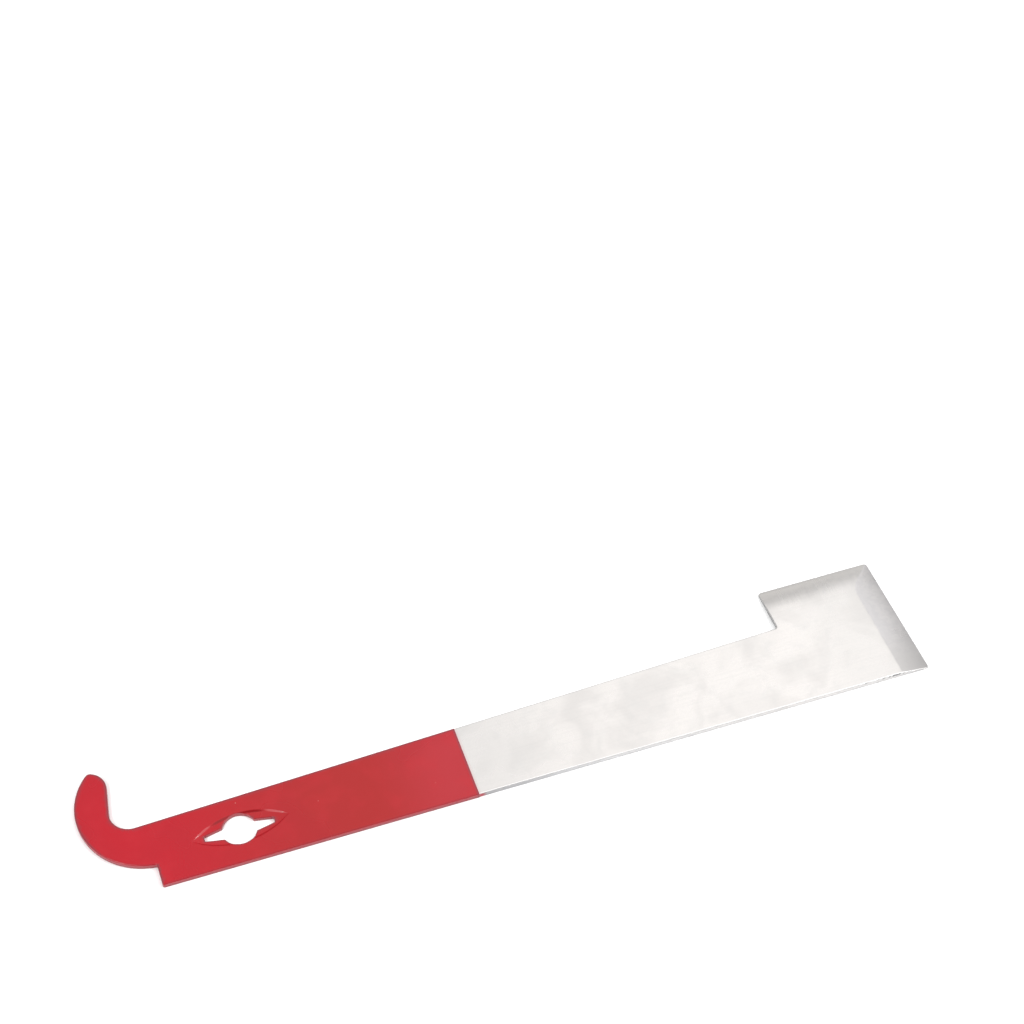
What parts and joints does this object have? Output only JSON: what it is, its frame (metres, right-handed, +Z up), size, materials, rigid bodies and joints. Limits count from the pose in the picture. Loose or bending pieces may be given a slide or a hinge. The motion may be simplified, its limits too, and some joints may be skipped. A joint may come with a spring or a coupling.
{
  "type": "hive tool",
  "caption": "Flat steel hive tool with a J hook, a bevelled L-shaped scraper head, a nail hole in a lens-shaped relief, and a red coat over the hook half.",
  "frame": {"origin": "middle of the tool's rectangular footprint, on the flat underside of the red coat", "axes": "+X along the straight lower edge toward the scraper head, +Y across the bar toward the side the hook and the head stand out to, +Z up from the flat underside to the bevelled face"},
  "size_m": [0.2646, 0.0448, 0.002],
  "materials": {
    "blade_steel": "fine ground, satin, with coarser ground bevels",
    "red_coat": "semi-gloss red coat"
  },
  "bodies": {
    "root": {"steel_blade": "blade_steel", "red_coating": "red_coat"}
  },
  "joints": []
}
